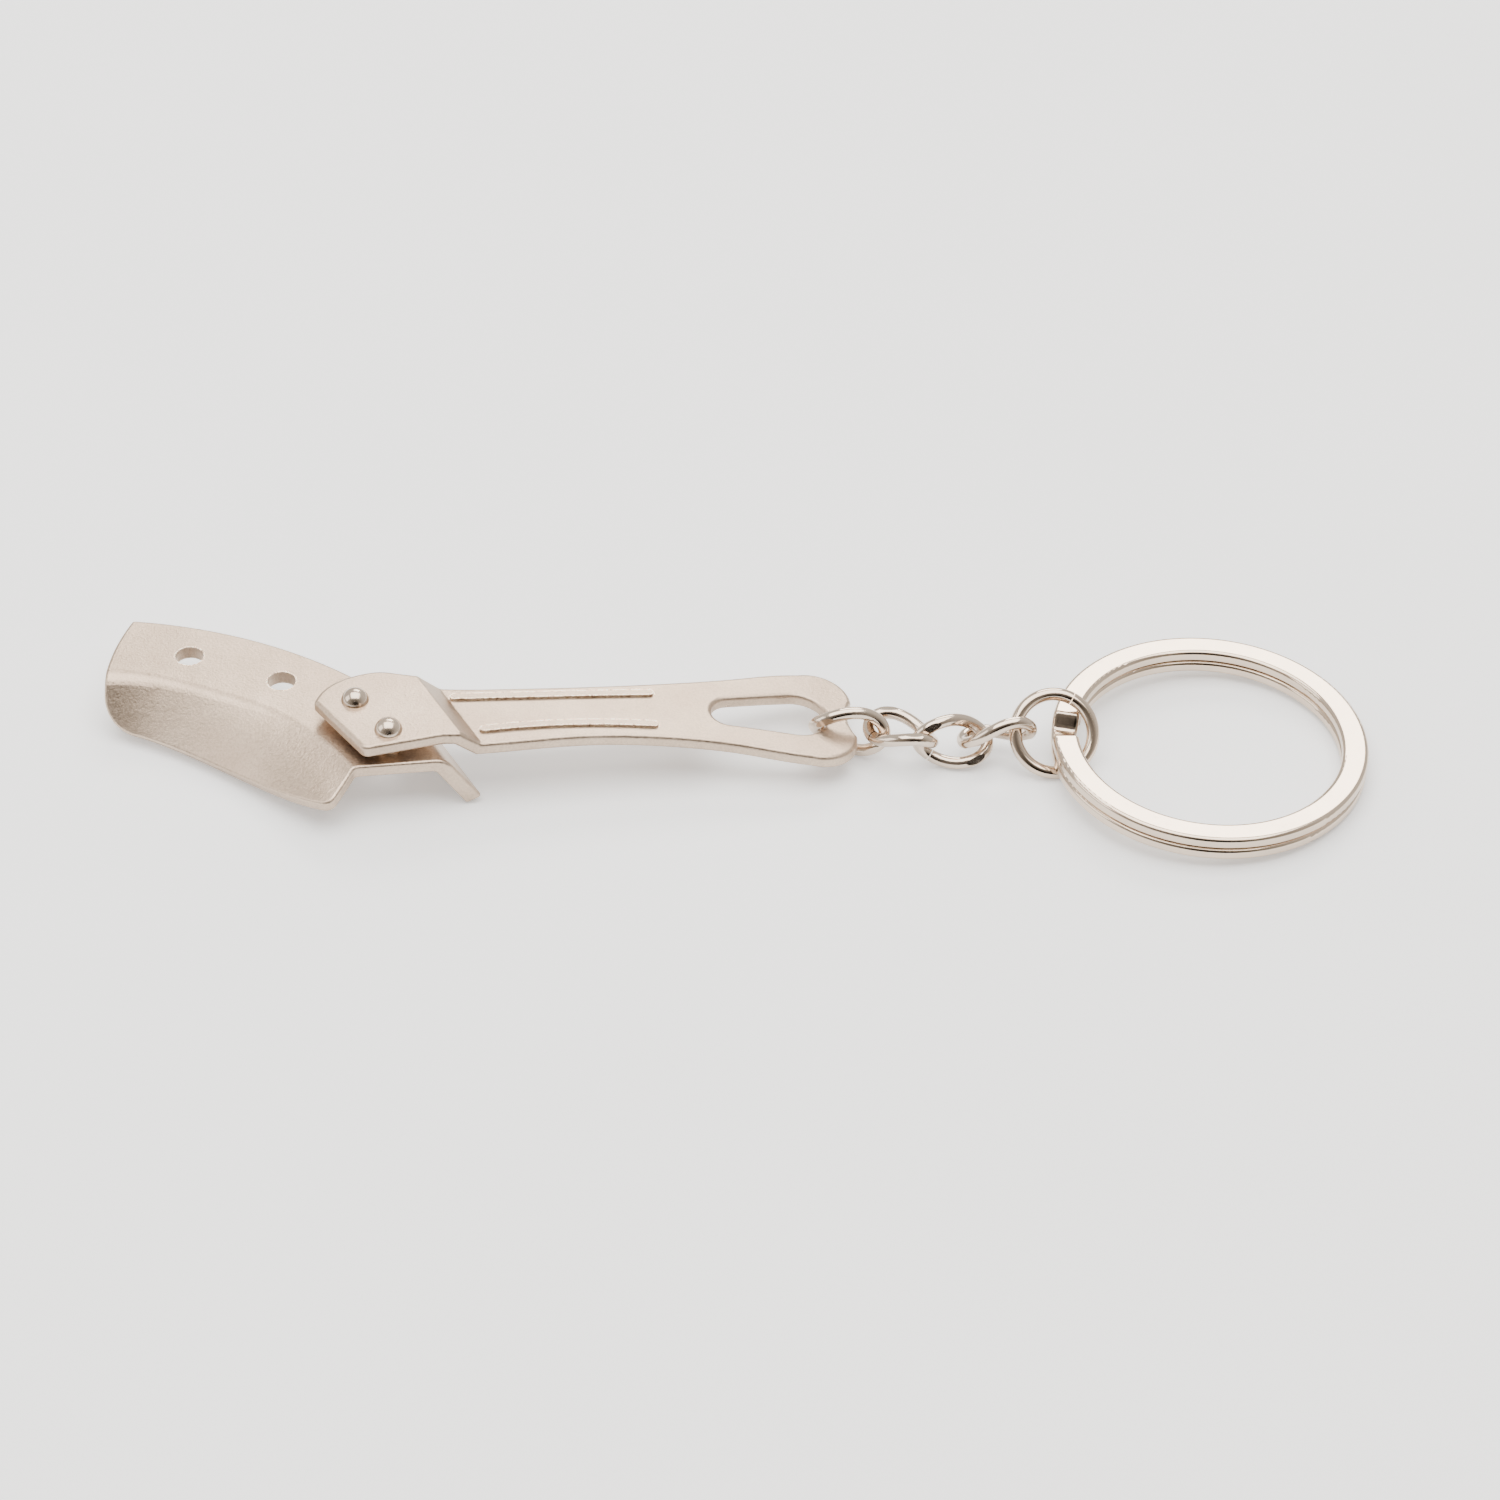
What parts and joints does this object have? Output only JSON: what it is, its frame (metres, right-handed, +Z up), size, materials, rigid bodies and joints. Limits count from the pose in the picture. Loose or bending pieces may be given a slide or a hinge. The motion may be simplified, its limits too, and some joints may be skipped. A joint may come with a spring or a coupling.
{
  "type": "keychain bottle opener",
  "caption": "Flat cast bottle opener with a scooped blade riveted under a slotted handle, on a short twisted chain with a split key ring.",
  "frame": {"origin": "middle of the underside of the bounding box, on the surface the opener lies on", "axes": "+X along the object from the scoop to the split ring, +Z up off the table, +Y away from the side with the scoop's lip"},
  "size_m": [0.1196, 0.03, 0.009],
  "materials": {
    "casting": "satin nickel over a fine-grained casting",
    "rivet": "bright nickel",
    "chain": "bright nickel, lightly tumbled",
    "ring": "polished nickel"
  },
  "bodies": {
    "opener": {"scoop_blade": "casting", "handle": "casting", "rear_rivet": "rivet", "front_rivet": "rivet"},
    "link_1": {"chain_link_1": "chain"},
    "link_2": {"chain_link_2": "chain"},
    "link_3": {"chain_link_3": "chain"},
    "link_4": {"chain_link_4": "chain"},
    "jump_ring_body": {"jump_ring": "ring"},
    "split_ring_body": {"split_ring": "ring"}
  },
  "joints": [
    {"name": "link_1_on_handle", "type": "hinge", "parent": "opener", "child": "link_1", "pos_m": [0.00968, 0.0031, 0.00258], "axis": [-0.1132, 0.9936, 0], "range_deg": [-4, 6]},
    {"name": "link_2_on_link_1", "type": "hinge", "parent": "link_1", "child": "link_2", "pos_m": [0.014, 0.0017, 0.0032], "axis": [-0.4356, 0.4252, 0.7934], "range_deg": [-1, 4]},
    {"name": "link_3_on_link_2", "type": "hinge", "parent": "link_2", "child": "link_3", "pos_m": [0.01855, 0.00018, 0.00283], "axis": [-0.2309, 0.9136, -0.3348], "range_deg": [-9, 6]},
    {"name": "link_4_on_link_3", "type": "hinge", "parent": "link_3", "child": "link_4", "pos_m": [0.0236, 0.00123, 0.00255], "axis": [-0.5211, 0.5623, 0.6421], "range_deg": [-35, 30]},
    {"name": "jump_ring_on_link_4", "type": "hinge", "parent": "link_4", "child": "jump_ring_body", "pos_m": [0.02786, 0.00051, 0.00353], "axis": [0.2431, -0.4004, 0.8835], "range_deg": [-45, 25]},
    {"name": "split_ring_on_jump_ring", "type": "hinge", "parent": "jump_ring_body", "child": "split_ring_body", "pos_m": [0.03294, 0.0026, 0.00473], "axis": [-0.6595, 0.4766, 0.5813], "range_deg": [-2, 60]}
  ]
}
